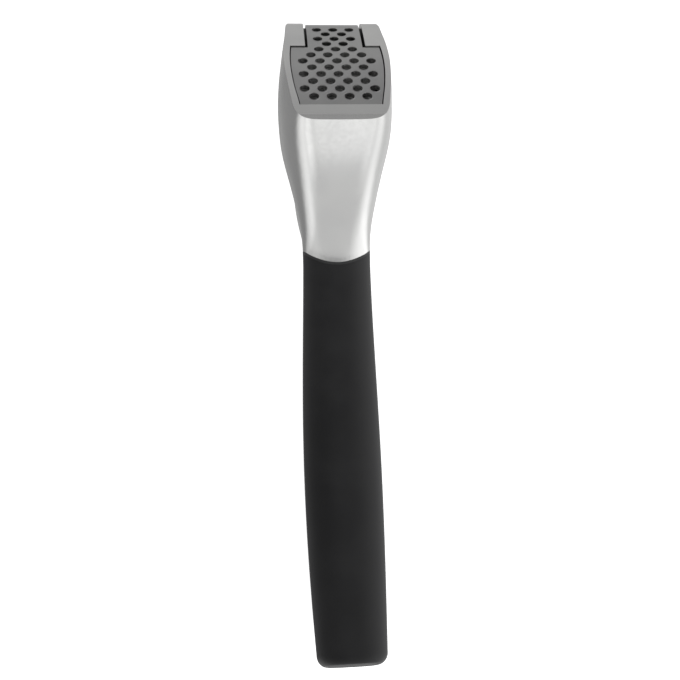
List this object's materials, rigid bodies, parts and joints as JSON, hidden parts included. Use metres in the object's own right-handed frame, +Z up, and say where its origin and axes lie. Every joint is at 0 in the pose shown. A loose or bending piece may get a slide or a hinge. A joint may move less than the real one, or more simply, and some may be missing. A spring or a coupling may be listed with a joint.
{
  "type": "garlic press",
  "caption": "Lever garlic press with a swing-out T-shaped sieve basket, a piston on the lower arm and soft black grips that close along each other.",
  "frame": {"origin": "centre of the closed press's outline seen from above, on the surface it lies on", "axes": "+Z up, +Y from the grips towards the hinge along the longest extent, +X completes a right-handed frame"},
  "size_m": [0.0308, 0.1746, 0.057],
  "materials": {
    "cast_metal": "polished",
    "sieve_steel": "satin",
    "pin_steel": "satin",
    "grip_black": "matte",
    "cap_black": "matte",
    "core_plastic": "matte",
    "bush_plastic": "satin"
  },
  "bodies": {
    "plunger_side": {"plunger_arm": "cast_metal", "plunger": "cast_metal", "plunger_pin": "pin_steel", "plunger_pin_clips": "pin_steel", "stop_bumper": "grip_black", "hinge_bush": "bush_plastic", "plunger_grip_seal": "cap_black", "plunger_grip_sleeve": "grip_black", "plunger_grip_core": "core_plastic", "plunger_grip_end_cap": "cap_black", "plunger_grip_screw": "pin_steel"},
    "sieve_side": {"sieve_arm": "cast_metal", "hinge_pin": "pin_steel", "hinge_pin_cap": "pin_steel", "hinge_washers": "bush_plastic", "sieve_grip_seal": "cap_black", "sieve_grip_sleeve": "grip_black", "sieve_grip_core": "core_plastic", "sieve_grip_end_cap": "cap_black", "sieve_grip_screw": "pin_steel"},
    "basket": {"sieve_basket": "sieve_steel"}
  },
  "joints": [
    {"name": "arm_hinge", "type": "hinge", "parent": "plunger_side", "child": "sieve_side", "pos_m": [0, 0.07973, 0.0277], "axis": [-1, 0, 0], "range_deg": [0, 110]},
    {"name": "basket_swing", "type": "hinge", "parent": "sieve_side", "child": "basket", "pos_m": [0, 0.07973, 0.0277], "axis": [1, 0, 0], "range_deg": [0, 50]}
  ],
  "couplings": [
    {"joint": "basket_swing", "follows": "arm_hinge", "ratio": 0.45}
  ]
}
